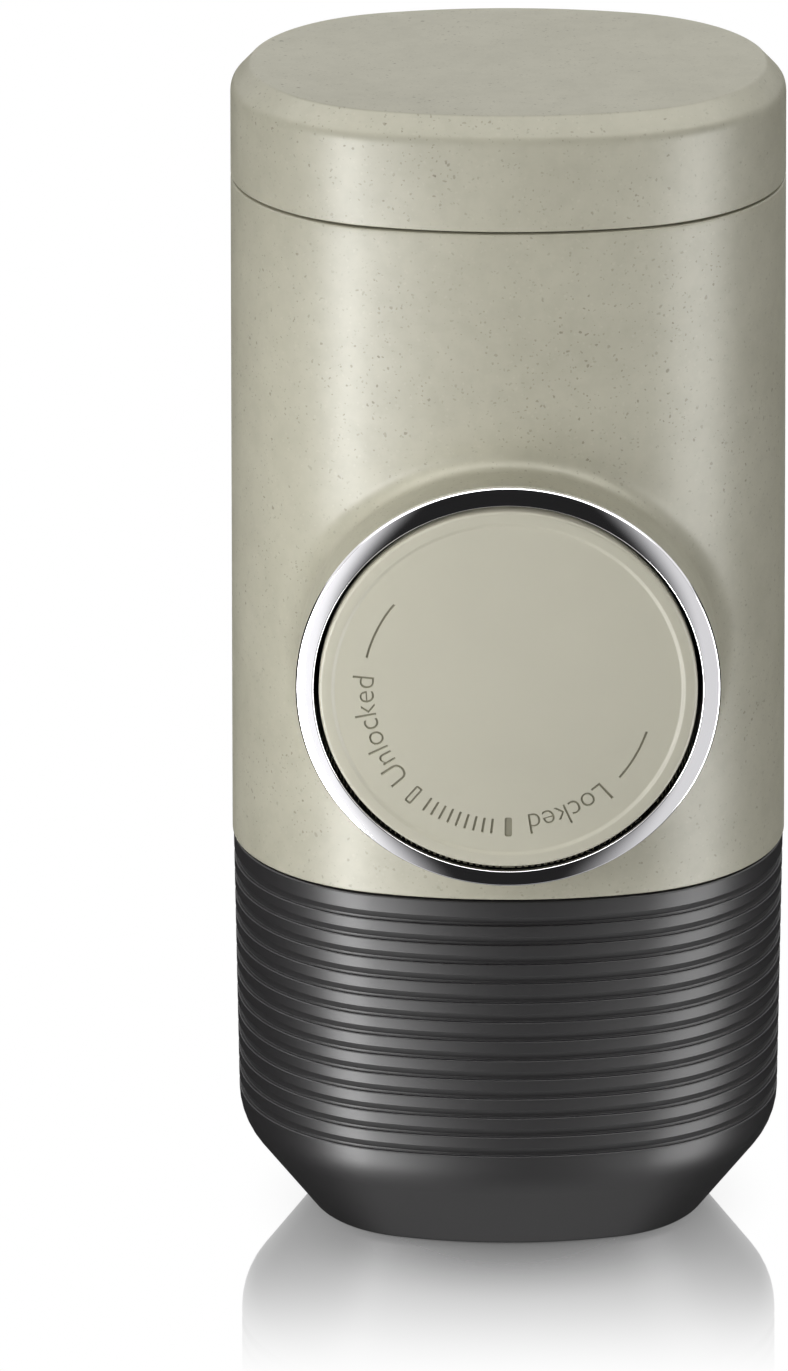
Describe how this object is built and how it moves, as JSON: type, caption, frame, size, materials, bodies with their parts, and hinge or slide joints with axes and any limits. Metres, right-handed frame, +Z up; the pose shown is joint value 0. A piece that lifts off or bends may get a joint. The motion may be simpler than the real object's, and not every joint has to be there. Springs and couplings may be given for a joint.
{
  "type": "handheld espresso maker",
  "caption": "Handheld manual espresso maker: oval body with a round locking pump button in a chrome ring, push-on cup on top and a ribbed screw-on water tank as its foot.",
  "frame": {"origin": "centre of the flat underside of the water tank, on the surface the maker stands on", "axes": "+Z up, -Y towards the pump button, +X to the right seen from the front"},
  "size_m": [0.071, 0.062, 0.154],
  "materials": {
    "flecked_shell": "satin, flecked",
    "button_plastic": "satin",
    "dark_plastic": "satin",
    "inner_plastic": "satin",
    "liner_plastic": "satin",
    "bezel_chrome": "polished",
    "spring_steel": "plain",
    "seal_rubber": "matte",
    "tube_silicone": "matte",
    "tank_plastic": "semi-gloss",
    "reservoir_plastic": "gloss"
  },
  "bodies": {
    "main_body": {"body_shell": "flecked_shell", "bezel_ring": "bezel_chrome", "stop_ring": "dark_plastic", "pump_block": "inner_plastic", "valve_block": "inner_plastic", "inlet_valve": "seal_rubber", "outlet_valve": "seal_rubber", "cylinder_gland": "inner_plastic", "return_spring": "spring_steel", "outlet_tube": "tube_silicone", "inlet_tube": "tube_silicone", "closure_plate": "inner_plastic", "strainer": "spring_steel", "air_valve": "seal_rubber", "capsule_chamber": "inner_plastic", "piercing_plate": "spring_steel", "chamber_gasket": "seal_rubber", "housing_screws": "spring_steel"},
    "plunger": {"piston_rod": "spring_steel", "rod_clip": "spring_steel", "piston_head": "inner_plastic", "piston_seals": "seal_rubber", "piston_screw": "spring_steel"},
    "button": {"button_face": "button_plastic", "button_skirt": "dark_plastic"},
    "outlet_head": {"outlet_head": "dark_plastic", "extraction_plate": "spring_steel", "outlet_gasket": "seal_rubber"},
    "cup": {"cup_cap": "flecked_shell", "cup_liner": "liner_plastic", "cup_band": "seal_rubber"},
    "tank_gasket": {"tank_gasket": "seal_rubber"},
    "tank": {"tank_sleeve": "tank_plastic", "tank_reservoir": "reservoir_plastic"}
  },
  "joints": [
    {"name": "pump_stroke", "type": "slide", "parent": "main_body", "child": "plunger", "axis": [0, -1, 0], "range_m": [0, 0.022], "deforming": ["return_spring"]},
    {"name": "dial_turn", "type": "hinge", "parent": "plunger", "child": "button", "pos_m": [0, -0.035, 0.0831], "axis": [0, -1, 0], "range_deg": [0, 42]},
    {"name": "head_lift", "type": "slide", "parent": "main_body", "child": "outlet_head", "axis": [0, 0, 1], "range_m": [0, 0.04]},
    {"name": "cup_lift", "type": "slide", "parent": "outlet_head", "child": "cup", "axis": [0, 0, 1], "range_m": [0, 0.06]},
    {"name": "tank_pull", "type": "slide", "parent": "main_body", "child": "tank_gasket", "axis": [0, 0, -1], "range_m": [0, 0.05]},
    {"name": "tank_turn", "type": "hinge", "parent": "tank_gasket", "child": "tank", "pos_m": [0, 0, 0], "axis": [0, 0, 1], "range_deg": [-120, 0]}
  ]
}
